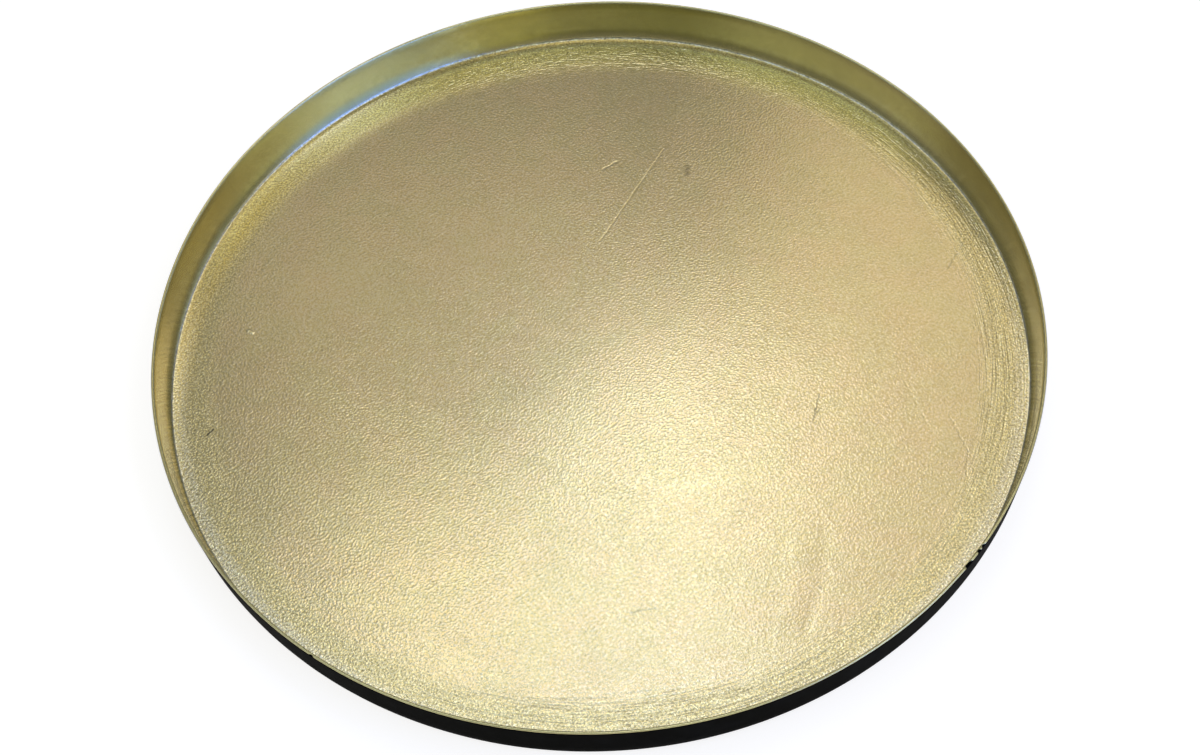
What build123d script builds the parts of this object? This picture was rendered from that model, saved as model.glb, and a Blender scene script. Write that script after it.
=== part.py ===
from build123d import *
import math
import os

# Sizes are in millimetres and angles in degrees.
# The origin is on the table, under the middle of the plate, with +Z up.

# Pressed steel dish
rim_diameter = 220.0  # outside of the steel at the rim
dish_height = 13.4  # underside of the steel floor to the crown of the rim
sheet_thickness = 0.7
wall_flare = 3.5  # lean of the wall, outwards from upright
crease_radius = 0.65  # inside of the tight crease round the floor
crease_angle = 68.0  # turn of the crease, up from the floor
foot_radius = 11.0  # inside of the gentle curve from the crease into the wall

# Gold lacquer inside the dish and over the rim
coat_thickness = 0.15
coat_end_angle = 50.0  # above the horizontal, on the outer half of the rim edge

# Felt pads under the floor
pad_count = 4
pad_diameter = 16.0
pad_thickness = 1.5
pad_edge_radius = 0.3  # softened lower edge
pad_inset = 10.0  # edge of the flat underside to the edge of a pad
pad_first_angle = 45.0

# A right angle and a half turn, in degrees
right_angle = 90.0
half_turn = 180.0

# Heights of the floor and the rounded edge that ends the sheet
underside = pad_thickness
floor_top = underside + sheet_thickness
edge_radius = sheet_thickness / 2
rim_center = Vector(rim_diameter / 2 - edge_radius, underside + dish_height - edge_radius)

# Directions of the leaning wall in the half section: along it and towards the inside of the dish
flare = math.radians(wall_flare)
wall_up = Vector(math.sin(flare), math.cos(flare))
wall_inward = Vector(-math.cos(flare), math.sin(flare))
wall_slope = right_angle - wall_flare
inward_angle = half_turn - wall_flare

# The foot curve touches the wall and the crease touches the floor, which sets where the flat floor ends
crease_turn = math.radians(crease_angle)
radius_step = foot_radius - crease_radius
foot_offset = wall_inward * (edge_radius + foot_radius)
foot_height = floor_top + crease_radius + radius_step * math.cos(crease_turn)
foot_drop = (rim_center.Y + foot_offset.Y - foot_height) / wall_up.Y
foot_center = rim_center + foot_offset - wall_up * foot_drop
flat_radius = foot_center.X + radius_step * math.sin(crease_turn)

# The pads stand on a circle inside the flat underside
pad_circle_radius = flat_radius - pad_inset - pad_diameter / 2


def lay_surface(lift):
    """Draws the half outline of the surface that lies lift above the steel, from the axis to the rim."""
    height = floor_top + lift
    floor = Line((0, height), (flat_radius, height))
    crease = JernArc(floor @ 1, floor % 1, crease_radius - lift, crease_angle)
    foot = JernArc(crease @ 1, crease % 1, foot_radius - lift, wall_slope - crease_angle)
    Line(foot @ 1, rim_center + wall_inward * (edge_radius + lift))


def lay_axis(low, high):
    """Closes a half outline along the axis of the dish."""
    Line((0, low), (0, high))


def save(piece, name):
    """Labels a finished piece and writes it to its own file."""
    piece.label = name
    export_step(piece, f"parts/{name}.step")


os.makedirs("parts", exist_ok=True)

# One pressing: floor, crease, foot curve, wall and rounded rim edge
with BuildPart() as pressed_dish:
    with BuildSketch(Plane.XZ):
        with BuildLine():
            lay_surface(0)
            CenterArc(rim_center, edge_radius, inward_angle, -half_turn)
            lay_surface(-sheet_thickness)
            lay_axis(underside, floor_top)
        make_face()
    revolve(axis=Axis.Z)
save(pressed_dish.part, "pressed_dish")

# Lacquer on the floor and the wall, carried over the rim edge to its outer half
coat_sweep = inward_angle - coat_end_angle
with BuildPart() as gold_lining:
    with BuildSketch(Plane.XZ):
        with BuildLine():
            lay_surface(0)
            steel_edge = CenterArc(rim_center, edge_radius, inward_angle, -coat_sweep)
            lay_surface(coat_thickness)
            coat_edge = CenterArc(rim_center, edge_radius + coat_thickness, inward_angle, -coat_sweep)
            Line(steel_edge @ 1, coat_edge @ 1)
            lay_axis(floor_top, floor_top + coat_thickness)
        make_face()
    revolve(axis=Axis.Z)
save(gold_lining.part, "gold_lining")

# Felt pads glued to the flat underside
pad_places = PolarLocations(pad_circle_radius, pad_count, pad_first_angle).locations
for number, place in enumerate(pad_places, start=1):
    with BuildPart() as felt_pad:
        with BuildSketch(Plane(place)):
            Circle(pad_diameter / 2)
        extrude(amount=pad_thickness)
        fillet(felt_pad.faces().sort_by(Axis.Z)[0].edges(), radius=pad_edge_radius)
    save(felt_pad.part, f"felt_pad_{number}")
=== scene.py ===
"""Dresses the candle plate: the black coated dish, its gold lacquer lining and the felt pads under it."""

import logging
import math
from collections.abc import Sequence
from dataclasses import dataclass, field
from enum import Enum
from functools import reduce

import bpy
import numpy as np
from mathutils import Matrix, Vector


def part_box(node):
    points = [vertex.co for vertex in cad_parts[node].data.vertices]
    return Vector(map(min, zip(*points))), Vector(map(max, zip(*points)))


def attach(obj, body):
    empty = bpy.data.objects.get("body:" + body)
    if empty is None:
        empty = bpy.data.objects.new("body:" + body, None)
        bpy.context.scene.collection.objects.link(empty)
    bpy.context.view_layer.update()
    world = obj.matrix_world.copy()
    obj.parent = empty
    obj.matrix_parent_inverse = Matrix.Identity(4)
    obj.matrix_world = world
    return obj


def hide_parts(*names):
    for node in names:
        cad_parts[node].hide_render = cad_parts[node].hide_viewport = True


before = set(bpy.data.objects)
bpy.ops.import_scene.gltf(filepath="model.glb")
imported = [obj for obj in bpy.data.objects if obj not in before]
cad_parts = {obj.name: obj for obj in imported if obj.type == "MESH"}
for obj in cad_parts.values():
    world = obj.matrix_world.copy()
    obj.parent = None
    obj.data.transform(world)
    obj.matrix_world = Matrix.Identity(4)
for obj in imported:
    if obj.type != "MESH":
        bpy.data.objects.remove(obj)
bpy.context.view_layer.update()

log = logging.getLogger("candle_plate")

MM = 0.001
FULL_TURN = 2 * math.pi
BODY = "root"

Socket = bpy.types.NodeSocket
Value = float | Sequence[float] | Socket
Sockets = dict[str | int, Value]
Triple = tuple[float, float, float]
Colour = Triple
Pair = tuple[float, float]
Waves = tuple[int, int]

WHITE: Colour = (1.0, 1.0, 1.0)
LEVEL: Triple = (1.0, 1.0, 0.0)
ORIGIN: Triple = (0.0, 0.0, 0.0)


class Slot(Enum):
    """Material slots of the record."""

    GOLD = "gold_lacquer"
    BLACK = "black_coat"
    FELT = "felt"


def millimetres(first: float, second: float) -> Pair:
    """Gives two lengths, or the two parts of a place, in metres."""
    return first * MM, second * MM


def rgba(colour: Colour) -> tuple[float, ...]:
    """Gives a colour its full opacity."""
    return (*colour, 1.0)


@dataclass(frozen=True)
class Cloud:
    """Cloudy noise: the size of its clouds, its finer layers, their strength and how far it is warped."""

    size: float
    detail: float = 2.0
    rough: float = 0.5
    warp: float = 0.0


class NodeBench:
    """Lays nodes into one node tree and links them."""

    MIX_FIRST, MIX_SECOND, MIX_RESULT = 6, 7, 2

    def __init__(self, tree: bpy.types.NodeTree) -> None:
        """Takes over a node tree and empties it."""
        self.tree = tree
        self.tree.nodes.clear()

    def put(self, kind: str, sockets: Sockets | None = None, **settings: object) -> bpy.types.Node:
        """Adds one node.

        Args:
            kind: Node type.
            sockets: Values or links for its input sockets.
            settings: Plain settings of the node.

        Returns:
            The new node.
        """
        node = self.tree.nodes.new(kind)
        for name, setting in settings.items():
            setattr(node, name, setting)
        self.fill(node, sockets or {})
        return node

    def fill(self, node: bpy.types.Node, sockets: Sockets) -> None:
        """Links the input sockets of a node, or sets their own values.

        Args:
            node: The node.
            sockets: Value or link for each socket.
        """
        for name, value in sockets.items():
            if isinstance(value, Socket):
                self.tree.links.new(value, node.inputs[name])
            else:
                node.inputs[name].default_value = value

    def calc(self, operation: str, first: Value, second: Value = 0.0, clamp: bool = False) -> Socket:
        """Combines two numbers, kept from 0 to 1 where clamp asks for it."""
        node = self.put("ShaderNodeMath", {0: first, 1: second}, operation=operation, use_clamp=clamp)
        return node.outputs[0]

    def chain(self, operation: str, values: Sequence[Value]) -> Socket:
        """Combines several numbers, one after the other."""
        return reduce(lambda first, second: self.calc(operation, first, second), values)

    def total(self, values: Sequence[Value]) -> Socket:
        """Adds up several numbers."""
        return self.chain("ADD", values)

    def product(self, values: Sequence[Value]) -> Socket:
        """Multiplies several numbers."""
        return self.chain("MULTIPLY", values)

    def arrow(self, operation: str, first: Value, second: Value = ORIGIN, out: str = "Vector") -> Socket:
        """Combines two vectors, into a vector or, with the output Value, a number."""
        return self.put("ShaderNodeVectorMath", {0: first, 1: second}, operation=operation).outputs[out]

    def scaled(self, arrow: Value, factor: Value) -> Socket:
        """Multiplies a vector or a colour by a number."""
        node = self.put("ShaderNodeVectorMath", {0: arrow, "Scale": factor}, operation="SCALE")
        return node.outputs["Vector"]

    def parts(self, arrow: Socket) -> tuple[Socket, Socket, Socket]:
        """Splits a vector into its X, Y and Z."""
        return tuple(self.put("ShaderNodeSeparateXYZ", {0: arrow}).outputs)

    def fade(self, value: Value, low: float, high: float, start: Value = 0.0, end: Value = 1.0) -> Socket:
        """Goes smoothly from start to end while value goes from low to high."""
        sockets = {"Value": value, "From Min": low, "From Max": high, "To Min": start, "To Max": end}
        return self.put("ShaderNodeMapRange", sockets, interpolation_type="SMOOTHSTEP").outputs["Result"]

    def noise(self, place: Socket, cloud: Cloud, out: str | int = 0) -> Socket:
        """Lays cloudy noise.

        Args:
            place: Where on the surface.
            cloud: Kind of noise, its size in the units of place.
            out: Output to use.

        Returns:
            The noise, about 0.5 on average.
        """
        sockets = {"Vector": place, "Scale": 1.0 / cloud.size, "Detail": cloud.detail,
                   "Roughness": cloud.rough, "Distortion": cloud.warp}
        return self.put("ShaderNodeTexNoise", sockets).outputs[out]

    def centred(self, value: Socket, reach: float) -> Socket:
        """Turns noise of 0 to 1 into minus reach to plus reach."""
        return self.calc("MULTIPLY", self.calc("SUBTRACT", value, 0.5), 2.0 * reach)

    def uneven(self, place: Socket, cloud: Cloud, reach: float, middle: float = 1.0) -> Socket:
        """Noise that goes as far as reach to both sides of a middle value."""
        return self.calc("ADD", self.centred(self.noise(place, cloud), reach), middle)

    def background_share(self) -> Socket:
        """Picks out the rays that show the background: straight, mirrored or through glass.

        Returns:
            1 for these rays, 0 for the others.
        """
        path = self.put("ShaderNodeLightPath").outputs
        rays = self.total([path["Is Camera Ray"], path["Is Glossy Ray"], path["Is Transmission Ray"]])
        return self.calc("MINIMUM", rays, 1.0)

    def blend(self, share: Value, first: Colour | Socket, second: Colour | Socket) -> Socket:
        """Mixes two colours.

        Args:
            share: Share of the second colour.
            first: First colour.
            second: Second colour.

        Returns:
            The mixed colour.
        """
        sockets: Sockets = {0: share}
        for number, colour in ((self.MIX_FIRST, first), (self.MIX_SECOND, second)):
            sockets[number] = colour if isinstance(colour, Socket) else rgba(colour)
        return self.put("ShaderNodeMix", sockets, data_type="RGBA").outputs[self.MIX_RESULT]

    def bump(self, height: Socket) -> Socket:
        """Turns a height in metres into a normal."""
        return self.put("ShaderNodeBump", {"Height": height, "Strength": 1.0, "Distance": 1.0}).outputs[0]


def surface_finish(name: str) -> tuple[bpy.types.Material, NodeBench, bpy.types.Node, Socket]:
    """Starts the material of one finish.

    Args:
        name: Name of the finish.

    Returns:
        The material, its node bench, its shader node and the place on the piece, in metres.
    """
    material = bpy.data.materials.new(name)
    material.use_nodes = True
    bench = NodeBench(material.node_tree)
    shader = bench.put("ShaderNodeBsdfPrincipled")
    bench.put("ShaderNodeOutputMaterial", {"Surface": shader.outputs[0]})
    place = bench.put("ShaderNodeTexCoord").outputs["Object"]
    return material, bench, shader, place


@dataclass(frozen=True)
class DishSection:
    """Half section of the pressed sheet, in metres and radians."""

    rim_radius: float
    underside: float
    crown: float
    sheet: float
    coat: float
    flare: float = math.radians(3.5)
    crease_radius: float = 0.65 * MM
    crease_angle: float = math.radians(68.0)
    foot_radius: float = 11.0 * MM

    @classmethod
    def from_frame(cls) -> "DishSection":
        """Takes the main sizes from the boxes of the dish and its lining.

        Returns:
            The section.
        """
        dish_low, dish_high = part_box("pressed_dish")
        lining_low, lining_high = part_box("gold_lining")
        return cls(
            rim_radius=min(dish_high.x, dish_high.y, -dish_low.x, -dish_low.y),
            underside=dish_low.z,
            crown=dish_high.z,
            sheet=lining_low.z - dish_low.z,
            coat=lining_high.z - dish_high.z,
        )

    @property
    def floor_top(self) -> float:
        """Height of the steel floor's upper face."""
        return self.underside + self.sheet

    @property
    def edge_radius(self) -> float:
        """Radius of the rounded edge that ends the sheet."""
        return self.sheet / 2

    @property
    def rim_center(self) -> np.ndarray:
        """Middle of the rounded rim edge, as radius and height."""
        return np.array([self.rim_radius - self.edge_radius, self.crown - self.edge_radius])

    @property
    def wall_inward(self) -> np.ndarray:
        """Direction square to the wall, towards the inside of the dish."""
        return np.array([-math.cos(self.flare), math.sin(self.flare)])

    @property
    def inward_angle(self) -> float:
        """Angle of that direction above the outward horizontal."""
        return math.pi - self.flare

    @property
    def wall_slope(self) -> float:
        """Slope of the wall above the horizontal."""
        return math.pi / 2 - self.flare

    @property
    def foot_center(self) -> np.ndarray:
        """Middle of the foot curve, which touches the wall.

        Returns:
            Its radius and height.
        """
        wall_up = np.array([math.sin(self.flare), math.cos(self.flare)])
        beside = self.rim_center + self.wall_inward * (self.edge_radius + self.foot_radius)
        over_crease = (self.foot_radius - self.crease_radius) * math.cos(self.crease_angle)
        return beside - wall_up * (beside[1] - self.floor_top - self.crease_radius - over_crease) / wall_up[1]

    @property
    def crease_center(self) -> np.ndarray:
        """Middle of the crease, which touches the floor and the foot curve."""
        outward = np.array([math.sin(self.crease_angle), -math.cos(self.crease_angle)])
        return self.foot_center + outward * (self.foot_radius - self.crease_radius)

    @property
    def flat_radius(self) -> float:
        """Radius of the flat floor."""
        return self.crease_center[0]

    @staticmethod
    def arc(center: np.ndarray, radius: float, slopes: np.ndarray) -> list[tuple[float, ...]]:
        """Lays a station, with its normal, for each slope on a curve of the section."""
        normals = [np.array([-math.sin(slope), math.cos(slope)]) for slope in slopes]
        return [(*(center - radius * normal), *normal) for normal in normals]

    def surface(self, floor_radii: Sequence[float], crease: int, foot: int, wall: int) -> np.ndarray:
        """Lays stations on the steel's upper face, from the axis to the foot of the rim edge.

        Args:
            floor_radii: Radii of the stations on the flat floor.
            crease: Stations on the crease.
            foot: Stations on the foot curve.
            wall: Stations on the wall.

        Returns:
            One row for each station: radius, height and the two parts of the normal.
        """
        rows = [(radius, self.floor_top, 0.0, 1.0) for radius in floor_radii]
        rows += self.arc(self.crease_center, self.crease_radius, np.linspace(0.0, self.crease_angle, crease))
        slopes = np.linspace(self.crease_angle, self.wall_slope, foot + 1)[1:]
        rows += self.arc(self.foot_center, self.foot_radius, slopes)
        low = np.array(rows[-1][:2])
        top = self.rim_center + self.wall_inward * self.edge_radius
        for share in np.linspace(0.0, 1.0, wall + 1)[1:]:
            rows.append((*(low + (top - low) * share), *self.wall_inward))
        return np.array(rows)


class RoundShell:
    """Closed round skin, made of rings from its upper middle, over its edge, to its lower middle."""

    FEWEST = 45
    MOST = 720
    RIM = 1440
    CHORD = 1.0 * MM

    def __init__(self, name: str) -> None:
        """Starts an empty skin."""
        self.name = name
        self.rings: list[np.ndarray] = []

    @classmethod
    def segments(cls, radius: float) -> int:
        """Finds the number of segments that keeps a ring's chords short.

        Args:
            radius: Radius of the ring.

        Returns:
            The number of segments.
        """
        count = cls.FEWEST
        while FULL_TURN * radius / count > cls.CHORD and count < cls.MOST:
            count *= 2
        return count

    @staticmethod
    def azimuths(count: int) -> np.ndarray:
        """Even azimuths round a ring."""
        return np.arange(count) * (FULL_TURN / count)

    def add(self, azimuth: np.ndarray, radius: np.ndarray | float, height: np.ndarray | float) -> None:
        """Adds a ring.

        Args:
            azimuth: Azimuth of each point.
            radius: Distance of each point from the axis.
            height: Height of each point.
        """
        spread = np.broadcast_arrays(radius * np.cos(azimuth), radius * np.sin(azimuth), height)
        self.rings.append(np.stack(spread, axis=1))

    def add_pole(self, height: float) -> None:
        """Adds a single point on the axis."""
        self.rings.append(np.array([[0.0, 0.0, height]]))

    @staticmethod
    def stitch(first: np.ndarray, second: np.ndarray) -> list[tuple[int, ...]]:
        """Joins two neighbouring rings.

        Args:
            first: Point numbers of the ring that comes first.
            second: Point numbers of the next ring, as many, twice, half as many or one.

        Returns:
            Faces that look outwards.
        """
        near, far = np.roll(first, -1), np.roll(second, -1)
        if len(first) == 1:
            return [(first[0], b, d) for b, d in zip(second, far)]
        if len(second) == 1:
            return [(a, second[0], c) for a, c in zip(first, near)]
        if len(first) == len(second):
            return list(zip(first, second, far, near))
        faces: list[tuple[int, ...]] = []
        if len(second) == 2 * len(first):
            for a, c, b, m, d in zip(first, near, second[::2], second[1::2], far[1::2]):
                faces += [(a, b, m), (a, m, c), (c, m, d)]
            return faces
        for a, m, c, b, d in zip(first[::2], first[1::2], near[1::2], second, far):
            faces += [(a, b, m), (m, b, d), (m, d, c)]
        return faces

    def finish(self, material: bpy.types.Material) -> bpy.types.Object:
        """Turns the rings into a smooth mesh.

        Args:
            material: Finish of the piece.

        Returns:
            The piece.
        """
        starts = np.cumsum([0] + [len(ring) for ring in self.rings])
        numbers = [np.arange(start, end) for start, end in zip(starts[:-1], starts[1:])]
        faces: list[tuple[int, ...]] = []
        for first, second in zip(numbers[:-1], numbers[1:]):
            faces += self.stitch(first, second)
        mesh = bpy.data.meshes.new(self.name)
        mesh.from_pydata(np.concatenate(self.rings).tolist(), [], [tuple(map(int, face)) for face in faces])
        mesh.polygons.foreach_set("use_smooth", np.ones(len(mesh.polygons), dtype=bool))
        mesh.materials.append(material)
        mesh.update()
        piece = bpy.data.objects.new(self.name, mesh)
        bpy.context.scene.collection.objects.link(piece)
        return piece


def ripple(azimuth: np.ndarray, seed: int, waves: Waves, layers: int = 14) -> np.ndarray:
    """Uneven run round a ring that closes on itself.

    Args:
        azimuth: Azimuths to work it out at.
        seed: Seed of its waves.
        waves: Fewest and most waves round the ring.
        layers: How many kinds of wave are laid over each other.

    Returns:
        Values from -1 to 1.
    """
    draw = np.random.default_rng(seed)
    counts = np.unique(np.geomspace(*waves, layers).astype(int))
    runs = [np.cos(count * azimuth + draw.uniform(0, FULL_TURN)) for count in counts]
    return np.clip(np.sum(runs, axis=0) / math.sqrt(2 * len(counts)), -1.0, 1.0)


@dataclass(frozen=True)
class Dent:
    """Soft dent in the floor, along a line of places."""

    places: tuple[Pair, ...]
    width: float
    depth: float

    def rise(self, x: np.ndarray, y: np.ndarray) -> np.ndarray:
        """Works out the height that the dent adds.

        Args:
            x: First part of each place.
            y: Second part of each place.

        Returns:
            The height at each place.
        """
        distance = np.full(x.shape, np.inf)
        for (ax, ay), (bx, by) in zip(self.places[:-1], self.places[1:]):
            run_x, run_y = bx - ax, by - ay
            share = ((x - ax) * run_x + (y - ay) * run_y) / (run_x**2 + run_y**2)
            share = np.clip(share, 0.0, 1.0)
            distance = np.minimum(distance, np.hypot(x - ax - share * run_x, y - ay - share * run_y))
        return -self.depth * np.exp(-((distance / self.width) ** 2))


@dataclass(frozen=True)
class SheetForm:
    """Slow unevenness that the pressing leaves in the floor, shared by the dish and its lining."""

    section: DishSection
    swell: float = 0.035 * MM
    swell_length: float = 62.0 * MM
    swell_spread: Pair = (0.7, 1.6)
    swells: int = 6
    seed: int = 11
    fade_width: float = 12.0 * MM
    dents: tuple[Dent, ...] = (
        Dent((millimetres(50.3, -58.6), millimetres(47.4, -71.0), millimetres(42.4, -82.9)),
             1.5 * MM, 0.062 * MM),
        Dent((millimetres(43.5, -61.5), millimetres(39.5, -75.5), millimetres(34.6, -81.5)),
             1.7 * MM, -0.052 * MM),
        Dent((millimetres(41.6, -67.9), millimetres(34.0, -82.7)), 1.2 * MM, 0.042 * MM),
    )

    def rise(self, azimuth: np.ndarray, radius: np.ndarray) -> np.ndarray:
        """Height that the floor gains at each place.

        Args:
            azimuth: Azimuth of each place.
            radius: Distance of each place from the axis.

        Returns:
            The heights.
        """
        x, y = radius * np.cos(azimuth), radius * np.sin(azimuth)
        draw = np.random.default_rng(self.seed)
        height = np.zeros(x.shape)
        for _ in range(self.swells):
            heading, shift = draw.uniform(0, FULL_TURN, 2)
            length = self.swell_length * draw.uniform(*self.swell_spread)
            along = x * math.cos(heading) + y * math.sin(heading)
            height += np.cos(FULL_TURN * along / length + shift) * self.swell / self.swells
        height += np.sum([dent.rise(x, y) for dent in self.dents], axis=0)
        inside = np.clip((self.section.flat_radius - np.hypot(x, y)) / self.fade_width, 0.0, 1.0)
        return height * inside * inside * (3 - 2 * inside)

    def middle(self) -> float:
        """Height that the floor gains on the axis."""
        return float(self.rise(np.zeros(1), np.zeros(1))[0])


@dataclass(frozen=True)
class Groove:
    """Fine groove that the spinning tool left in one ring of the lining."""

    radius: float
    start: float
    sweep: float
    depth: float

    @classmethod
    def at(cls, radius: float, start: float, sweep: float, depth: float) -> "Groove":
        """Takes the groove's sizes in millimetres and degrees."""
        return cls(radius * MM, math.radians(start), math.radians(sweep), depth * MM)

    def cut(self, azimuth: np.ndarray) -> np.ndarray:
        """Depth of the groove at each azimuth, tapered to its ends."""
        along = np.mod(azimuth - self.start, FULL_TURN) / self.sweep
        return self.depth * np.sqrt(np.sin(math.pi * np.clip(along, 0.0, 1.0)).clip(0.0))


@dataclass(frozen=True)
class Chip:
    """Place on the rim where the lacquer has broken away."""

    azimuth: float
    length: float
    reach: float
    steepness: float = 1.6

    @classmethod
    def at(cls, azimuth: float, length: float, reach: float) -> "Chip":
        """Takes the chip's sizes in millimetres and degrees."""
        return cls(math.radians(azimuth), length * MM, math.radians(reach))

    def retreat(self, azimuth: np.ndarray, rim_radius: float) -> np.ndarray:
        """Angle by which the lacquer's end draws back at each azimuth."""
        apart = np.angle(np.exp(1j * (azimuth - self.azimuth))) * rim_radius / (self.length / 2)
        return self.reach * np.clip(self.steepness - self.steepness * apart**2, 0.0, 1.0)


def seat(piece: bpy.types.Object, node: str) -> bpy.types.Object:
    """Puts a finished piece in the place of its solid.

    Args:
        piece: The piece.
        node: Solid that it stands for.

    Returns:
        The piece.
    """
    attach(piece, BODY)
    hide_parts(node)
    return piece


@dataclass
class PressedDish:
    """Steel pressing under its black coat."""

    section: DishSection
    form: SheetForm
    floor_step: float = 4.0 * MM
    crease_rows: int = 8
    foot_rows: int = 5
    wall_rows: int = 10
    rim_rows: int = 17
    coat_unevenness: float = 0.012 * MM
    coat_waves: Waves = (5, 90)
    seed: int = 23

    def build(self, finish: "BlackCoat") -> bpy.types.Object:
        """Makes the dish.

        Args:
            finish: The coat's finish.

        Returns:
            The piece.
        """
        cut = self.section
        radii = np.arange(self.floor_step, cut.flat_radius, self.floor_step)
        upper = cut.surface(radii, self.crease_rows, self.foot_rows, self.wall_rows)
        shell = RoundShell("black_dish")
        shell.add_pole(cut.floor_top + self.form.middle())
        for row in upper:
            self.lay(shell, row, 0.0)
        self.lay_rim(shell)
        for row in upper[::-1]:
            self.lay(shell, row, -cut.sheet)
        shell.add_pole(cut.underside + self.form.middle())
        return seat(shell.finish(finish.make()), "pressed_dish")

    def lay(self, shell: RoundShell, row: np.ndarray, lift: float) -> None:
        """Lays one ring, whose coat is uneven on the outside.

        Args:
            shell: Skin that the ring goes to.
            row: Station of the section.
            lift: Height above the sheet's upper face.
        """
        radius, height, across, upward = row
        azimuth = shell.azimuths(shell.segments(radius))
        uneven = 0.0
        if lift < 0:
            uneven = self.coat_unevenness * (ripple(azimuth, self.seed, self.coat_waves) - 1) / 2
        ring = np.broadcast_to(radius + (lift - uneven) * across, azimuth.shape)
        shell.add(azimuth, ring, height + (lift - uneven) * upward + self.form.rise(azimuth, ring))

    def lay_rim(self, shell: RoundShell) -> None:
        """Lays the half round edge of the sheet.

        Args:
            shell: Skin that the rings go to.
        """
        cut = self.section
        azimuth = shell.azimuths(shell.RIM)
        for angle in np.linspace(cut.inward_angle, cut.inward_angle - math.pi, self.rim_rows)[1:-1]:
            radius = cut.rim_center[0] + cut.edge_radius * math.cos(angle)
            shell.add(azimuth, radius, cut.rim_center[1] + cut.edge_radius * math.sin(angle))


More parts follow.
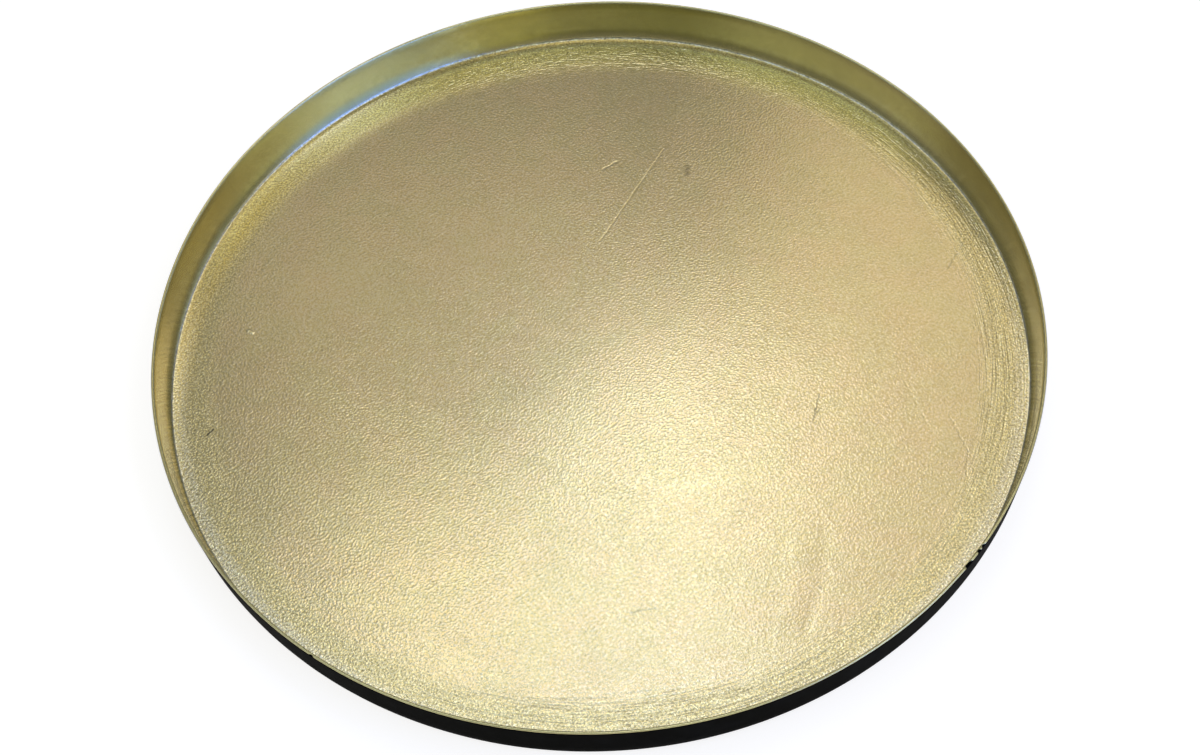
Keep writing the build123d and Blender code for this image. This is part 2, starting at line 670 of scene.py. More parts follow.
@dataclass
class GoldLining:
    """Thick gold lacquer on the floor, the wall and the rim edge of the dish."""

    section: DishSection
    form: SheetForm
    middle_step: float = 1.5 * MM
    edge_step: float = 0.45 * MM
    edge_width: float = 18.0 * MM
    crease_rows: int = 9
    foot_rows: int = 6
    wall_rows: int = 4
    rim_rows: int = 9
    under_step: float = 16.0 * MM
    under_rows: tuple[int, int, int] = (5, 3, 1)
    back_step: int = 4
    end_angle: float = math.radians(50.0)
    end_wander: float = math.radians(4.0)
    end_waves: Waves = (9, 260)
    end_margin: float = math.radians(4.0)
    edge_share: float = 0.35
    thin_start: float = 0.6
    thin_share: float = 0.10
    thin_waves: Waves = (12, 300)
    groove_count: int = 80
    groove_depth: Pair = millimetres(0.003, 0.015)
    groove_sweep: Pair = (math.radians(3.0), math.radians(22.0))
    groove_band: Pair = millimetres(93.0, 105.5)
    seed: int = 5
    chipped: float = math.radians(317.6)
    chipped_width: float = math.radians(4.0)
    chipped_gather: float = 0.7
    chip_ragged: float = 0.25
    chip_waves: Waves = (200, 1200)
    chips: tuple[Chip, ...] = (
        Chip.at(319.1, 1.1, 80.0),
        Chip.at(318.3, 1.2, 100.0),
        Chip.at(316.1, 2.3, 105.0),
        Chip.at(231.6, 1.2, 40.0),
    )
    long_grooves: tuple[Groove, ...] = (
        Groove.at(102.3, 2.0, 20.0, 0.036),
        Groove.at(101.4, -3.0, 24.0, 0.040),
        Groove.at(100.5, -11.0, 24.0, 0.040),
        Groove.at(99.6, -20.0, 20.0, 0.038),
        Groove.at(98.2, -29.0, 18.0, 0.036),
        Groove.at(102.6, -38.0, 30.0, 0.028),
        Groove.at(101.4, 256.0, 34.0, 0.042),
        Groove.at(103.0, 262.0, 32.0, 0.038),
        Groove.at(99.3, 266.0, 26.0, 0.038),
        Groove.at(97.2, 271.0, 20.0, 0.034),
        Groove.at(95.5, 262.0, 26.0, 0.030),
        Groove.at(100.4, 279.0, 22.0, 0.038),
        Groove.at(102.4, 245.0, 30.0, 0.038),
        Groove.at(98.3, 244.0, 24.0, 0.034),
        Groove.at(104.3, 272.0, 28.0, 0.038),
        Groove.at(103.4, 24.0, 25.0, 0.026),
        Groove.at(100.1, 28.0, 18.0, 0.023),
        Groove.at(98.0, 60.0, 24.0, 0.026),
        Groove.at(99.6, 72.0, 30.0, 0.026),
    )

    def grooves(self) -> list[Groove]:
        """Lists the grooves.

        Returns:
            The long grooves and a scatter of short ones.
        """
        draw = np.random.default_rng(self.seed)
        scatter = [
            Groove(draw.uniform(*self.groove_band), draw.uniform(0, FULL_TURN),
                   draw.uniform(*self.groove_sweep), draw.uniform(*self.groove_depth))
            for _ in range(self.groove_count)
        ]
        return [*self.long_grooves, *scatter]

    def floor_radii(self) -> np.ndarray:
        """Spaces the rings on the flat floor.

        Returns:
            Their radii, closer together towards the floor's edge.
        """
        turn = self.section.flat_radius - self.edge_width
        middle = np.arange(self.middle_step, turn, self.middle_step)
        return np.concatenate([middle, np.arange(turn, self.section.flat_radius, self.edge_step)])

    def build(self, finish: "GoldLacquer") -> bpy.types.Object:
        """Makes the lining.

        Args:
            finish: The lacquer's finish.

        Returns:
            The piece.
        """
        cut = self.section
        upper = cut.surface(self.floor_radii(), self.crease_rows, self.foot_rows, self.wall_rows)
        under = cut.surface(np.arange(self.under_step, cut.flat_radius, self.under_step), *self.under_rows)
        middle = cut.floor_top + self.form.middle()
        shell = RoundShell("gold_lining_skin")
        shell.add_pole(middle + cut.coat)
        grooves = self.assign(upper)
        for number, row in enumerate(upper):
            self.lay(shell, row, cut.coat, grooves.get(number, []))
        self.lay_rim(shell)
        for row in under[::-1]:
            self.lay(shell, row, 0.0, [])
        shell.add_pole(middle)
        return seat(shell.finish(finish.make()), "gold_lining")

    def assign(self, rows: np.ndarray) -> dict[int, list[Groove]]:
        """Sorts the grooves to the rings nearest to them.

        Args:
            rows: Stations of the section.

        Returns:
            The grooves of each station that has any, by its number.
        """
        sorted_grooves: dict[int, list[Groove]] = {}
        for groove in self.grooves():
            nearest = int(np.argmin(np.abs(rows[:, 0] - groove.radius)))
            sorted_grooves.setdefault(nearest, []).append(groove)
        return sorted_grooves

    def lay(self, shell: RoundShell, row: np.ndarray, coat: float, grooves: list[Groove]) -> None:
        """Lays one ring of the lacquer's upper face, or of the face that is bonded to the steel.

        Args:
            shell: Skin that the ring goes to.
            row: Station of the section.
            coat: Height above the steel.
            grooves: Grooves that run in this ring.
        """
        radius, height, across, upward = row
        azimuth = self.azimuths(shell.segments(radius), radius)
        lift = coat - np.sum([groove.cut(azimuth) for groove in grooves] or [np.zeros(azimuth.shape)], axis=0)
        ring = radius + lift * across
        shell.add(azimuth, ring, height + lift * upward + self.form.rise(azimuth, ring))

    def azimuths(self, count: int, radius: float) -> np.ndarray:
        """Azimuths round a ring, gathered at the chipped part of the rim.

        Args:
            count: Points on the ring.
            radius: Radius of the ring.

        Returns:
            The azimuths.
        """
        even = RoundShell.azimuths(count)
        apart = np.angle(np.exp(1j * (even - self.chipped)))
        near = np.exp(-((apart / self.chipped_width) ** 2))
        outward = np.clip((radius - self.section.flat_radius) / self.edge_width + 1, 0.0, 1.0)
        return even - self.chipped_gather * outward * apart * near

    def end_angles(self, azimuth: np.ndarray) -> np.ndarray:
        """Works out where the lacquer ends on the rim edge.

        Args:
            azimuth: Azimuths round the rim.

        Returns:
            The angle on the edge at each azimuth.
        """
        cut = self.section
        angle = self.end_angle + self.end_wander * (1 + ripple(azimuth, self.seed, self.end_waves)) / 2
        ragged = 1 + self.chip_ragged * ripple(azimuth, self.seed + 1, self.chip_waves)
        for chip in self.chips:
            angle = angle + chip.retreat(azimuth, cut.rim_radius) * ragged
        return np.minimum(angle, cut.inward_angle - self.end_margin)

    def lay_rim(self, shell: RoundShell) -> None:
        """Lays the lacquer over the rim edge, thinning towards its end, and back along the steel.

        Args:
            shell: Skin that the rings go to.
        """
        cut = self.section
        azimuth = self.azimuths(shell.RIM, cut.rim_radius)
        turn = self.end_angles(azimuth) - cut.inward_angle
        thin = 1 - self.thin_share * (1 + ripple(azimuth, self.seed + 2, self.thin_waves)) / 2
        shares = np.linspace(0.0, 1.0, self.rim_rows)
        for share in shares[1:]:
            ease = max(0.0, (share - self.thin_start) / (1 - self.thin_start))
            lift = cut.coat * thin * (1 - (1 - self.edge_share) * ease**2)
            self.lay_rim_ring(shell, azimuth, cut.inward_angle + turn * share, lift)
        for share in shares[::-self.back_step][:-1]:
            self.lay_rim_ring(shell, azimuth, cut.inward_angle + turn * share, 0.0)

    def lay_rim_ring(self, shell: RoundShell, azimuth: np.ndarray, angle: np.ndarray,
                     lift: np.ndarray | float) -> None:
        """Lays one ring at an angle on the rim edge and a lift above the steel."""
        middle, reach = self.section.rim_center, self.section.edge_radius + lift
        shell.add(azimuth, middle[0] + reach * np.cos(angle), middle[1] + reach * np.sin(angle))


@dataclass
class FeltPad:
    """Self-adhesive felt disc under the floor."""

    number: int
    edge_radius: float = 0.3 * MM
    edge_rows: int = 6
    fray: float = 0.10 * MM
    fray_start: float = 0.5
    fray_waves: Waves = (7, 80)
    nap: float = 0.05 * MM
    side_waves: Waves = (20, 90)
    side_seed: int = 31
    face_waves: Waves = (6, 60)
    face_seed: int = 17
    face_share: float = 0.94
    seed_steps: int = 90
    rows: int = 12
    segments: int = 180

    @property
    def node(self) -> str:
        """Solid that the pad stands for."""
        return f"felt_pad_{self.number}"

    def loose(self, azimuth: np.ndarray, seed: int, share: float, waves: Waves) -> np.ndarray:
        """Height of the loose nap on one ring, which lies at a share of the pad's side or face."""
        return self.nap * (1 + ripple(azimuth, self.number * seed + int(share * self.seed_steps), waves)) / 2

    def build(self, finish: "PadFelt") -> bpy.types.Object:
        """Makes the pad.

        Args:
            finish: The felt's finish.

        Returns:
            The piece.
        """
        low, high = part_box(self.node)
        radius = (high.x - low.x) / 2
        tall = high.z - low.z
        shell = RoundShell(f"felt_dot_{self.number}")
        azimuth = shell.azimuths(self.segments)
        frayed = 1 - self.fray / radius * (1 + ripple(azimuth, self.number, self.fray_waves)) / 2
        shell.add_pole(tall)
        for share in np.linspace(0.0, 1.0, self.rows + 1)[1:]:
            shell.add(azimuth, radius * share * (frayed if share > self.fray_start else 1.0), tall)
        for share in np.linspace(1.0, self.edge_radius / tall, self.rows // 2)[1:]:
            loose = self.loose(azimuth, self.side_seed, share, self.side_waves)
            shell.add(azimuth, radius * frayed - loose, tall * share)
        for angle in np.linspace(0.0, math.pi / 2, self.edge_rows)[1:]:
            inset = self.edge_radius * (1 - math.cos(angle))
            drop = self.edge_radius * (1 - math.sin(angle))
            shell.add(azimuth, radius * frayed - self.nap / 2 - inset, drop)
        for share in np.linspace(self.face_share, 0.0, self.rows)[:-1]:
            shell.add(azimuth, radius * share, self.loose(azimuth, self.face_seed, share, self.face_waves))
        shell.add_pole(self.nap / 2)
        piece = shell.finish(finish.make())
        piece.location = ((low.x + high.x) / 2, (low.y + high.y) / 2, low.z)
        return seat(piece, self.node)


@dataclass(frozen=True)
class Scratch:
    """Mark in the lacquer, along a straight line."""

    start: Pair
    end: Pair
    width: float
    depth: float
    tone: float = 0.0

    @classmethod
    def at(cls, start: Pair, end: Pair, width: float, depth: float, tone: float = 0.0) -> "Scratch":
        """Takes the mark's places and sizes in millimetres."""
        return cls(millimetres(*start), millimetres(*end), width * MM, depth * MM, tone)


@dataclass(frozen=True)
class LacquerPattern:
    """Where a point of the lining is, and the lacquer's patterns there."""

    place: Socket
    radius: Socket
    ring: Socket
    wall: Socket
    peel: Socket
    spin: Socket


@dataclass(frozen=True)
class GoldLacquer:
    """Gold spray lacquer over steel: leathery orange peel on the floor, sparkling grain next to the wall."""

    section: DishSection
    colour: Colour = (0.800, 0.672, 0.378)
    warm: Colour = (0.822, 0.668, 0.384)
    warm_clouds: Cloud = Cloud(9.0 * MM, 3.0)
    warm_range: Pair = (0.35, 0.65)
    ring_colour: Colour = (0.800, 0.676, 0.360)
    # Paler gold at the floor's edge and the crease: painted highlight along the crease line.
    edge_painted_highlight: Colour = (0.845, 0.742, 0.480)
    # Darker, more saturated gold on the wall: painted shade and painted reflection of the gold floor in the
    # wall.
    wall_painted_shade: Colour = (0.765, 0.672, 0.330)
    mottle: float = 0.06
    mottle_clouds: Cloud = Cloud(7.0 * MM, 4.0, 0.6)
    floor_rough: float = 0.195
    ring_rough: float = 0.205
    wall_rough: float = 0.200
    rough_spread: float = 0.020
    rough_clouds: tuple[Cloud, Cloud] = (Cloud(18.0 * MM, 3.0), Cloud(1.1 * MM))
    ring_band: Pair = millimetres(95.0, 101.0)
    edge_highlight_band: Pair = millimetres(103.0, 106.0)
    wall_rise: Pair = millimetres(0.1, 0.7)
    wall_calm: float = 0.9
    peel_clouds: Cloud = Cloud(0.57 * MM, 1.0, 0.45, 0.4)
    peel_turn: float = math.radians(-38.0)
    peel_stretch: Triple = (0.92, 1.0, 1.0)
    peel_height: float = 0.050 * MM
    # How much darker the colour is in the peel's pits: painted shade in the recesses.
    peel_painted_shade: float = 0.16
    peel_range: Pair = (0.3, 0.7)
    # Browner pits and paler, bluer bumps: painted shade in the pits and painted highlight on the bumps.
    pit_painted_shade: Colour = (1.0, 0.98, 0.86)
    bump_painted_highlight: Colour = (1.0, 1.02, 1.14)
    peel_span: Pair = millimetres(-50.0, 50.0)
    peel_gain: Pair = (1.12, 0.80)
    smooth_band: Pair = millimetres(8.0, 44.0)
    smooth_gain: float = 0.68
    patch_clouds: Cloud = Cloud(26.0 * MM)
    patch_range: Pair = (0.3, 0.7)
    patch_gain: Pair = (0.8, 1.15)
    grain_clouds: Cloud = Cloud(0.42 * MM, 2.0, 0.55)
    grain_height: float = 0.006 * MM
    ring_grain_height: float = 0.040 * MM
    ring_grain: float = 0.65
    ring_grain_clouds: Cloud = Cloud(0.48 * MM, 1.0)
    spin_band: Pair = millimetres(93.0, 98.0)
    spin_start: Pair = millimetres(-75.0, -20.0)
    spin_left: float = 0.2
    spin_size: float = 0.40 * MM
    spin_run: float = 2.6 * MM
    spin_height: float = 0.055 * MM
    # Lighter and darker spin dashes and lines in the colour: painted glints and painted shade of the grooves.
    spin_painted_glint: float = 0.40
    spin_back: Pair = millimetres(84.0, 98.0)
    spin_back_gain: float = 1.8
    line_run: float = 13.0 * MM
    line_front: Pair = millimetres(-96.0, -84.0)
    line_side: Pair = millimetres(64.0, 82.0)
    line_side_share: float = 0.70
    line_gain: float = 1.6
    comb_band: Pair = millimetres(103.0, 105.5)
    comb_size: float = 0.45 * MM
    comb_run: float = 3.0 * MM
    comb_height: float = 0.020 * MM
    comb_end: Pair = millimetres(40.0, 85.0)
    comb_back: float = 0.1
    mark_clouds: Cloud = Cloud(1.2 * MM)
    mark_wander: Pair = millimetres(1.0, 1.0)
    mark_edge: Pair = (0.15, 0.75)
    scratches: tuple[Scratch, ...] = (
        Scratch.at((5.2, 58.5), (9.1, 60.9), 0.7, 0.035),
        Scratch.at((22.2, 64.0), (2.8, 33.7), 0.5, 0.022),
        Scratch.at((53.7, -19.5), (52.2, -23.8), 0.32, 0.024, -0.12),
        Scratch.at((52.2, -23.8), (51.3, -27.0), 0.32, 0.024, -0.20),
        Scratch.at((53.6, -23.7), (52.3, -24.7), 0.30, 0.016, -0.10),
        Scratch.at((94.9, 20.8), (91.7, 16.2), 0.35, 0.018, -0.05),
        Scratch.at((3.1, -75.3), (8.9, -74.7), 0.35, 0.012, -0.14),
        Scratch.at((84.4, -28.6), (87.1, -39.2), 0.5, 0.018),
        Scratch.at((87.1, -39.2), (85.4, -46.1), 0.5, 0.018),
        Scratch.at((75.1, -17.7), (79.0, -31.3), 0.6, 0.012),
        Scratch.at((27.6, 54.6), (27.9, 57.1), 1.5, 0.004, -0.30),
        Scratch.at((0.1, -102.7), (0.5, -102.9), 0.6, 0.006, -0.45),
        Scratch.at((46.8, -72.4), (47.2, -72.8), 0.6, 0.006, -0.20),
        Scratch.at((-89.2, 13.3), (-88.1, 12.6), 0.9, -0.060, 0.25),
        Scratch.at((-98.1, -17.8), (-96.7, -16.4), 0.35, 0.010, -0.85),
    )

    def make(self) -> bpy.types.Material:
        """Makes the material.

        Returns:
            The material.
        """
        material, bench, shader, place = surface_finish("gold_lacquer")
        level = bench.arrow("MULTIPLY", place, LEVEL)
        radius = bench.arrow("LENGTH", level, out="Value")
        ring = bench.fade(radius, *self.ring_band)
        floor = self.section.floor_top + self.section.coat
        wall = bench.fade(bench.parts(place)[2], *(floor + rise for rise in self.wall_rise))
        marks, dips = self.marks(bench, level)
        pattern = LacquerPattern(place, radius, ring, wall, self.peel(bench, place),
                                 self.spin(bench, place, radius))
        bench.fill(shader, {
            "Metallic": 1.0,
            "Base Color": self.tint(bench, pattern, marks),
            "Roughness": self.gloss(bench, pattern),
            "Normal": self.relief(bench, pattern, dips),
        })
        return material

    def peel(self, bench: NodeBench, place: Socket) -> Socket:
        """Orange peel of the lacquer, from 0 in its pits to 1 on its bumps."""
        sockets = {"Vector": place, "Rotation": (0.0, 0.0, self.peel_turn), "Scale": self.peel_stretch}
        return bench.noise(bench.put("ShaderNodeMapping", sockets).outputs[0], self.peel_clouds)

    def spin(self, bench: NodeBench, place: Socket, radius: Socket) -> Socket:
        """Dashes and long lines that the spinning tool left round the edge of the floor.

        Args:
            bench: Node bench of the material.
            place: Place on the piece.
            radius: Distance from the axis.

        Returns:
            The pattern, about 0 on average.
        """
        dashes = bench.calc("SUBTRACT", self.polar(bench, place, radius, self.spin_run, self.spin_size), 0.5)
        lines = bench.calc("SUBTRACT", self.polar(bench, place, radius, self.line_run, self.spin_size), 0.5)
        across, away, _ = bench.parts(place)
        lined = bench.calc("MAXIMUM", bench.fade(away, *self.line_front, 1.0, 0.0),
                           bench.fade(across, *self.line_side, 0.0, self.line_side_share))
        short = bench.product([dashes, bench.fade(away, *self.spin_back, 1.0, self.spin_back_gain),
                               bench.calc("SUBTRACT", 1.0, lined)])
        long = bench.product([lines, lined, self.line_gain])
        return bench.product([bench.calc("ADD", short, long), bench.fade(radius, *self.spin_band),
                              bench.fade(across, *self.spin_start, self.spin_left, 1.0)])

    def marks(self, bench: NodeBench, level: Socket) -> tuple[Socket, Socket]:
        """Draws the scratches and specks.

        Args:
            bench: Node bench of the material.
            level: Place on the floor.

        Returns:
            How much the marks lighten or darken the colour, and how deep they are.
        """
        group = self.line_group()
        wander = bench.arrow("SUBTRACT", bench.noise(level, self.mark_clouds, "Color"), (0.5, 0.5, 0.5))
        ragged = bench.arrow("ADD", level, bench.arrow("MULTIPLY", wander, (*self.mark_wander, 0.0)))
        tones, depths = [], []
        for mark in self.scratches:
            sockets = {"Place": ragged, "Start": (*mark.start, 0.0), "End": (*mark.end, 0.0),
                       "Width": mark.width}
            line = bench.put("ShaderNodeGroup", sockets, node_tree=group).outputs[0]
            depths.append(bench.calc("MULTIPLY", line, mark.depth))
            if mark.tone:
                tones.append(bench.calc("MULTIPLY", line, mark.tone))
        return bench.calc("ADD", bench.total(tones), 1.0), bench.total(depths)

    def line_group(self) -> bpy.types.NodeTree:
        """Makes the node group that measures how near a place is to a line.

        Returns:
            The group's node tree.
        """
        tree = bpy.data.node_groups.new("lacquer_line", "ShaderNodeTree")
        for name in ("Place", "Start", "End"):
            tree.interface.new_socket(name, in_out="INPUT", socket_type="NodeSocketVector")
        tree.interface.new_socket("Width", in_out="INPUT", socket_type="NodeSocketFloat")
        tree.interface.new_socket("Mark", in_out="OUTPUT", socket_type="NodeSocketFloat")
        bench = NodeBench(tree)
        given = bench.put("NodeGroupInput").outputs
        run = bench.arrow("SUBTRACT", given["End"], given["Start"])
        from_start = bench.arrow("SUBTRACT", given["Place"], given["Start"])
        along = bench.arrow("DOT_PRODUCT", from_start, run, out="Value")
        length = bench.arrow("DOT_PRODUCT", run, run, out="Value")
        nearest = bench.scaled(run, bench.calc("DIVIDE", along, length, clamp=True))
        apart = bench.arrow("LENGTH", bench.arrow("SUBTRACT", from_start, nearest), out="Value")
        near = bench.fade(bench.calc("DIVIDE", apart, given["Width"]), *self.mark_edge, 1.0, 0.0)
        bench.put("NodeGroupOutput", {"Mark": near})
        return tree

    def tint(self, bench: NodeBench, pattern: LacquerPattern, marks: Socket) -> Socket:
        """Colours the lacquer, with painted shade in its pits, painted highlight on its bumps, a paler
        painted highlight next to the crease, painted glints on the spin marks and painted shade on the wall.

        Args:
            bench: Node bench of the material.
            pattern: Where on the lining.
            marks: Lightening of the scratches and specks.

        Returns:
            The colour.
        """
        place = pattern.place
        cloudy = bench.fade(bench.noise(place, self.warm_clouds), *self.warm_range)
        colour = bench.blend(cloudy, self.colour, self.warm)
        colour = bench.blend(pattern.ring, colour, self.ring_colour)
        # Paler gold next to the crease: painted highlight.
        colour = bench.blend(bench.fade(pattern.radius, *self.edge_highlight_band), colour, self.edge_painted_highlight)
        # Tint of the peel: painted shade in the pits, painted highlight on the bumps.
        peel = bench.blend(bench.fade(pattern.peel, *self.peel_range), self.pit_painted_shade, self.bump_painted_highlight)
        # The wall takes the darker olive gold: painted shade and painted reflection of the floor.
        colour = bench.blend(pattern.wall, bench.arrow("MULTIPLY", colour, peel), self.wall_painted_shade)
        floor = bench.calc("SUBTRACT", 1.0, pattern.wall)
        grain = bench.centred(bench.noise(place, self.ring_grain_clouds), self.ring_grain)
        fine = bench.total([
            bench.uneven(place, self.mottle_clouds, self.mottle),
            bench.product([pattern.ring, floor, grain]),
            # Darker colour in the peel's pits: painted shade.
            bench.product([floor, bench.centred(pattern.peel, self.peel_painted_shade)]),
            # Spin marks in the colour: painted glints and painted shade.
            bench.product([floor, pattern.spin, self.spin_painted_glint]),
        ])
        return bench.scaled(colour, bench.product([fine, marks]))

    def gloss(self, bench: NodeBench, pattern: LacquerPattern) -> Socket:
        """Roughness of the lacquer.

        Args:
            bench: Node bench of the material.
            pattern: Where on the lining.

        Returns:
            The roughness.
        """
        floor = bench.fade(pattern.ring, 0.0, 1.0, self.floor_rough, self.ring_rough)
        lift = bench.calc("MULTIPLY", pattern.wall, self.wall_rough - self.ring_rough)
        worn = [bench.centred(bench.noise(pattern.place, cloud), self.rough_spread)
                for cloud in self.rough_clouds]
        return bench.total([floor, lift, *worn])

    def relief(self, bench: NodeBench, pattern: LacquerPattern, dips: Socket) -> Socket:
        """Relief of the lacquer: orange peel, grain, spin marks and scratches.

        Args:
            bench: Node bench of the material.
            pattern: Where on the lining.
            dips: Depth of the scratches.

        Returns:
            The normal.
        """
        place, radius = pattern.place, pattern.radius
        away = bench.parts(place)[1]
        calm = bench.calc("SUBTRACT", 1.0, bench.product([pattern.wall, self.wall_calm]))
        patchy = bench.fade(bench.noise(place, self.patch_clouds), *self.patch_range, *self.patch_gain)
        gain = bench.fade(away, *self.peel_span, *self.peel_gain)
        smooth = bench.fade(radius, *self.smooth_band, self.smooth_gain, 1.0)
        grain_height = bench.fade(pattern.ring, 0.0, 1.0, self.grain_height, self.ring_grain_height)
        height = bench.total([
            bench.product([pattern.peel, self.peel_height, patchy, gain, smooth, calm]),
            bench.product([bench.noise(place, self.grain_clouds), grain_height, calm]),
            bench.product([pattern.spin, self.spin_height, calm]),
            bench.product([self.polar(bench, place, radius, self.comb_size, self.comb_run), self.comb_height,
                           bench.fade(radius, *self.comb_band),
                           bench.fade(away, *self.comb_end, 1.0, self.comb_back), calm]),
        ])
        return bench.bump(bench.calc("SUBTRACT", height, dips))

    def polar(self, bench: NodeBench, place: Socket, radius: Socket, along: float, across: float) -> Socket:
        """Noise laid round the plate.

        Args:
            bench: Node bench of the material.
            place: Place on the piece.
            radius: Distance from the axis.
            along: Length of its clouds round the plate.
            across: Length of its clouds towards the axis.

        Returns:
            The noise.
        """
        heading = bench.arrow("NORMALIZE", bench.arrow("MULTIPLY", place, LEVEL))
        turn = bench.scaled(heading, self.section.flat_radius / along)
        rise = bench.put("ShaderNodeCombineXYZ", {"Z": bench.calc("DIVIDE", radius, across)}).outputs[0]
        return bench.noise(bench.arrow("ADD", turn, rise), Cloud(size=1.0, detail=1.0))


@dataclass(frozen=True)
class BlackCoat:
    """Matt black coat on the outside of the steel."""

    colour: Colour = (0.0030, 0.0026, 0.0016)
    worn: Colour = (0.0062, 0.0057, 0.0045)
    worn_clouds: Cloud = Cloud(14.0 * MM, 4.0, 0.6)
    worn_range: Pair = (0.4, 0.72)
    shade: float = 0.35
    shade_clouds: Cloud = Cloud(0.8 * MM)
    rough: float = 0.60
    rough_spread: float = 0.08
    rough_clouds: Cloud = Cloud(3.0 * MM, 3.0)
    gloss: float = 0.005
    grain_clouds: Cloud = Cloud(0.45 * MM)
    grain_height: float = 0.012 * MM

    def make(self) -> bpy.types.Material:
        """Makes the material.

        Returns:
            The material.
        """
        material, bench, shader, place = surface_finish("black_coat")
        cloudy = bench.fade(bench.noise(place, self.worn_clouds), *self.worn_range)
        colour = bench.blend(cloudy, self.colour, self.worn)
        grain = bench.calc("MULTIPLY", bench.noise(place, self.grain_clouds), self.grain_height)
        bench.fill(shader, {
            "Base Color": bench.scaled(colour, bench.uneven(place, self.shade_clouds, self.shade)),
            "Roughness": bench.uneven(place, self.rough_clouds, self.rough_spread, self.rough),
            "Specular IOR Level": self.gloss,
            "Normal": bench.bump(grain),
        })
        return material


@dataclass(frozen=True)
class PadFelt:
    """Pressed dark felt."""

    name: str = "pad_felt"
    colour: Colour = (0.026, 0.026, 0.028)
    fibre: Colour = (0.060, 0.060, 0.064)
    fibre_clouds: Cloud = Cloud(0.35 * MM, 3.0)
    fibre_lays: tuple[Triple, Triple] = ((1.0, 0.3, 1.0), (0.3, 1.0, 1.0))
    fibre_range: Pair = (0.5, 0.72)
    fibre_height: float = 0.06 * MM
    mottle: float = 0.2
    mottle_clouds: Cloud = Cloud(3.0 * MM)
    rough: float = 0.95
    rough_spread: float = 0.05
    rough_clouds: Cloud = Cloud(1.5 * MM)
    sheen: float = 0.25
    gloss: float = 0.2

    def make(self) -> bpy.types.Material:
        """Makes the material, or finds it where a pad has it already.

        Returns:
            The material.
        """
        made = bpy.data.materials.get(self.name)
        if made:
            return made
        material, bench, shader, place = surface_finish(self.name)
        lays = [bench.put("ShaderNodeMapping", {"Vector": place, "Scale": lay}).outputs[0]
                for lay in self.fibre_lays]
        fibres = bench.chain("MAXIMUM", [bench.noise(lay, self.fibre_clouds) for lay in lays])
        colour = bench.blend(bench.fade(fibres, *self.fibre_range), self.colour, self.fibre)
        bench.fill(shader, {
            "Base Color": bench.scaled(colour, bench.uneven(place, self.mottle_clouds, self.mottle)),
            "Roughness": bench.uneven(place, self.rough_clouds, self.rough_spread, self.rough),
            "Sheen Weight": self.sheen,
            "Specular IOR Level": self.gloss,
            "Normal": bench.bump(bench.calc("MULTIPLY", fibres, self.fibre_height)),
        })
        return material


@dataclass(frozen=True)
class PaleFloor:
    """Pale table top, lifted to white where it is seen, which keeps the plate's shadow."""

    colour: Colour = (0.50, 0.50, 0.50)
    mottle: float = 0.01
    mottle_clouds: Cloud = Cloud(0.5)
    rough: float = 0.9
    lift: float = 0.840
    glow: Colour = (1.0, 0.975, 0.935)
    radius: float = 8.0
    segments: int = 128

    def build(self) -> bpy.types.Object:
        """Makes the floor.

        Returns:
            The floor.
        """
        material, bench, shader, place = surface_finish("pale_floor")
        bench.fill(shader, {
            "Base Color": bench.scaled(self.colour, bench.uneven(place, self.mottle_clouds, self.mottle)),
            "Roughness": self.rough,
            "Specular IOR Level": 0.0,
            "Emission Color": rgba(self.glow),
            "Emission Strength": bench.calc("MULTIPLY", bench.background_share(), self.lift),
        })
        angles = RoundShell.azimuths(self.segments)
        places = [(self.radius * math.cos(angle), self.radius * math.sin(angle), 0.0) for angle in angles]
        mesh = bpy.data.meshes.new("table_top")
        mesh.from_pydata(places, [], [tuple(range(self.segments))])
        mesh.materials.append(material)
        floor = bpy.data.objects.new("table_top", mesh)
        bpy.context.scene.collection.objects.link(floor)
        return floor


@dataclass(frozen=True)
class Softbox:
    """Flat studio lamp that looks at the plate, in degrees and metres."""

    name: str
    azimuth: float
    elevation: float
    width: float
    height: float
    radiance: float
    colour: Colour = WHITE
    distance: float = 1.6

    def side(self, angle: float) -> float:
        """Length of a side that fills an angle as seen from the plate."""
        return 2 * self.distance * math.tan(math.radians(angle) / 2)

    def hang(self) -> bpy.types.Object:
        """Hangs the lamp.

        Returns:
            The lamp.
        """
        lamp = bpy.data.lights.new(self.name, "AREA")
        lamp.shape = "RECTANGLE"
        lamp.size, lamp.size_y = self.side(self.width), self.side(self.height)
        lamp.energy = self.radiance * math.pi * lamp.size * lamp.size_y
        lamp.color = self.colour
        azimuth, elevation = math.radians(self.azimuth), math.radians(self.elevation)
        towards = Vector((math.cos(elevation) * math.cos(azimuth), math.cos(elevation) * math.sin(azimuth),
                          math.sin(elevation)))
        holder = bpy.data.objects.new(self.name, lamp)
        holder.location = towards * self.distance
        holder.rotation_euler = (-towards).to_track_quat("-Z", "Y").to_euler()
        holder.visible_camera = False
        bpy.context.scene.collection.objects.link(holder)
        return holder


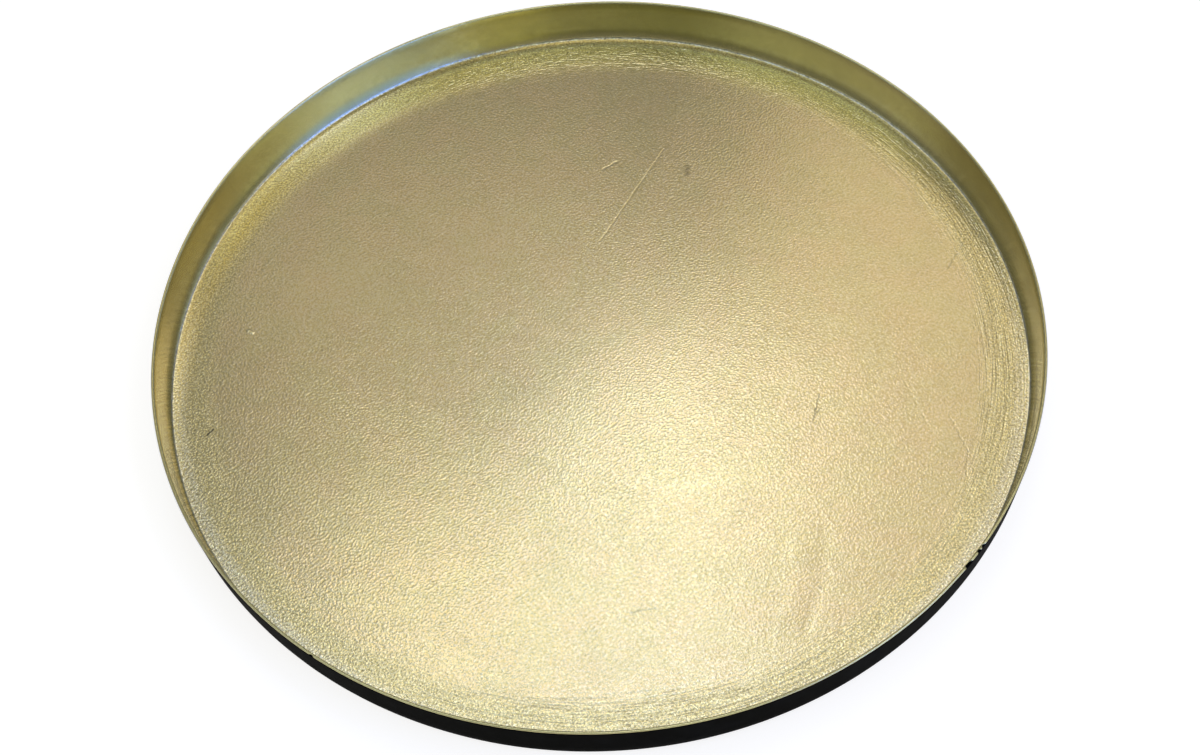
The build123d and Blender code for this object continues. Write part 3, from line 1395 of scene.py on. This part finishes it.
@dataclass(frozen=True)
class StudioRoom:
    """Soft light of the room: pale above, mossy and cool in front, dim near the horizon.

    A low white backdrop stands along the horizon. Limits are parts of a direction, from -1 to 1.
    """

    above: Colour = (0.215, 0.227, 0.225)
    mossy: Colour = (0.185, 0.222, 0.101)
    mossy_top: Pair = (0.60, 0.74)
    cool: Colour = (0.078, 0.151, 0.286)
    cool_foot: Pair = (0.64, 0.78)
    cool_top: Pair = (0.84, 0.95)
    front: Pair = (-0.50, -0.15)
    horizon: Colour = (0.078, 0.103, 0.163)
    horizon_top: Pair = (0.25, 0.62)
    backdrop: float = 1.0
    backdrop_top: Pair = (0.07, 0.12)

    def fill(self) -> None:
        """Fills the world."""
        world = bpy.data.worlds.new("studio_room")
        world.use_nodes = True
        bpy.context.scene.world = world
        bench = NodeBench(world.node_tree)
        _, away, rise = bench.parts(bench.put("ShaderNodeTexCoord").outputs["Generated"])
        front = bench.fade(away, *self.front, 1.0, 0.0)
        low = bench.product([front, bench.fade(rise, *self.mossy_top, 1.0, 0.0)])
        band = bench.product([front, bench.fade(rise, *self.cool_foot),
                              bench.fade(rise, *self.cool_top, 1.0, 0.0)])
        high = bench.arrow("ADD", bench.blend(low, self.above, self.mossy), bench.scaled(self.cool, band))
        sky = bench.blend(bench.fade(rise, *self.horizon_top), self.horizon, high)
        seen = bench.product([bench.background_share(), bench.fade(rise, *self.backdrop_top, 1.0, 0.0)])
        light = bench.put("ShaderNodeBackground", {"Color": sky, "Strength": 1.0})
        white = bench.put("ShaderNodeBackground", {"Color": rgba(WHITE), "Strength": self.backdrop})
        mixed = bench.put("ShaderNodeMixShader", {0: seen, 1: light.outputs[0], 2: white.outputs[0]})
        bench.put("ShaderNodeOutputWorld", {"Surface": mixed.outputs[0]})


@dataclass(frozen=True)
class PhotoCamera:
    """Camera at the viewing angle of the photograph, in metres, degrees and, for the lens, millimetres."""

    distance: float = 0.4563
    elevation: float = 54.840
    roll: float = -4.395
    aim_forward: float = -0.00901
    lens: float = 54.0
    sensor: float = 36.0
    nearest: float = 0.01

    def stand(self, base: float) -> bpy.types.Object:
        """Puts up the camera.

        Args:
            base: Height of the dish's underside.

        Returns:
            The camera.
        """
        elevation, roll = math.radians(self.elevation), math.radians(self.roll)
        stand = Vector((0.0, -math.cos(elevation) * self.distance,
                        math.sin(elevation) * self.distance + base))
        ahead = (Vector((0.0, self.aim_forward, base)) - stand).normalized()
        right = ahead.cross(Vector((0.0, 0.0, 1.0))).normalized()
        up = right.cross(ahead)
        across = right * math.cos(roll) + up * math.sin(roll)
        upright = up * math.cos(roll) - right * math.sin(roll)
        lens = bpy.data.cameras.new("photo_camera")
        lens.lens, lens.sensor_width, lens.sensor_fit = self.lens, self.sensor, "HORIZONTAL"
        lens.clip_start = self.nearest
        camera = bpy.data.objects.new("photo_camera", lens)
        turned = Matrix((across, upright, -ahead)).transposed().to_4x4()
        camera.matrix_world = Matrix.Translation(stand) @ turned
        bpy.context.scene.collection.objects.link(camera)
        bpy.context.scene.camera = camera
        return camera


@dataclass(frozen=True)
class Studio:
    """Floor, light and camera."""

    camera: PhotoCamera = PhotoCamera()
    floor: PaleFloor = PaleFloor()
    room: StudioRoom = StudioRoom()
    lamps: tuple[Softbox, ...] = (
        Softbox("main_softbox", 84.6, 60.0, 8.65, 5.59, 2.740, (0.73, 0.835, 1.00)),
        Softbox("back_softbox", 67.9, 47.8, 15.76, 13.14, 0.557, (1.00, 0.89, 0.68)),
        Softbox("broad_softbox", 120.2, 74.1, 27.67, 25.58, 0.614, (0.55, 0.71, 1.00)),
        Softbox("fill_softbox", 69.3, 62.2, 19.38, 16.76, 0.575, (1.00, 0.91, 0.80)),
        Softbox("far_panel", 101.0, 50.0, 18.64, 9.00, 0.371, (1.00, 0.90, 0.77)),
        Softbox("far_left_panel", 108.0, 66.0, 6.10, 9.00, 1.620, (1.00, 0.93, 0.72)),
        Softbox("high_panel", 80.0, 75.0, 3.88, 9.00, 4.520, (0.58, 0.69, 1.00)),
        Softbox("side_softbox", -15.0, 58.0, 70.00, 16.00, 0.197, (1.00, 0.89, 0.39)),
        Softbox("side_window", -8.0, 60.5, 13.27, 10.00, 3.300, (0.37, 0.48, 1.00)),
        Softbox("side_panel", 27.0, 61.0, 15.00, 11.00, 1.150, (0.88, 0.95, 1.00)),
        Softbox("front_window", -30.0, 48.0, 18.06, 11.00, 3.047, (0.33, 0.49, 1.00)),
        Softbox("right_panel", -8.0, 36.0, 21.42, 11.00, 0.546, (0.76, 1.00, 0.99)),
        Softbox("low_right_panel", -8.0, 6.0, 25.87, 11.00, 0.920, (0.54, 0.66, 1.00)),
        Softbox("low_side_panel", 20.0, 16.0, 25.07, 11.00, 1.188, (0.33, 0.49, 1.00)),
        Softbox("blue_window", -40.0, 26.0, 41.30, 11.00, 3.490, (0.16, 0.30, 1.00)),
        Softbox("low_blue_window", -40.0, 6.0, 45.70, 11.00, 3.950, (0.06, 0.20, 1.00)),
        Softbox("front_panel", -70.0, 26.0, 23.57, 11.00, 0.786, (0.85, 1.00, 0.60)),
        Softbox("cool_softbox", -160.0, 55.0, 40.00, 16.00, 0.620, (0.62, 0.84, 1.00)),
        Softbox("left_softbox", -159.0, 36.0, 48.00, 28.00, 0.267, (0.48, 0.57, 1.00)),
        Softbox("top_softbox", -90.0, 84.0, 16.00, 16.00, 0.750),
        Softbox("front_high_panel", -78.0, 53.0, 34.00, 8.00, 0.850, (0.65, 0.80, 1.00)),
        Softbox("left_panel", 111.0, 60.0, 9.00, 9.00, 0.190, (1.00, 0.97, 0.62)),
    )

    def set_up(self, base: float) -> None:
        """Sets up the floor, the light and the camera.

        Args:
            base: Height of the dish's underside.
        """
        bpy.context.scene.view_settings.view_transform = "Standard"
        self.floor.build()
        self.room.fill()
        for lamp in self.lamps:
            lamp.hang()
        self.camera.stand(base)


@dataclass
class CandlePlate:
    """The whole plate."""

    section: DishSection = field(default_factory=DishSection.from_frame)
    pads: int = 4

    def build(self) -> list[bpy.types.Object]:
        """Makes all pieces of the plate.

        Returns:
            The dish, its lining and the pads.
        """
        form = SheetForm(self.section)
        dish = PressedDish(self.section, form).build(BlackCoat())
        lining = GoldLining(self.section, form).build(GoldLacquer(self.section))
        pads = [FeltPad(number).build(PadFelt()) for number in range(1, self.pads + 1)]
        return [dish, lining, *pads]


def main() -> None:
    """Builds the plate and the studio round it."""
    logging.basicConfig(level=logging.INFO, format="%(name)s: %(message)s")
    plate = CandlePlate()
    pieces = plate.build()
    Studio().set_up(plate.section.underside)
    for piece in pieces:
        log.info("%s: %d faces", piece.name, len(piece.data.polygons))


if __name__ == "__main__":
    main()
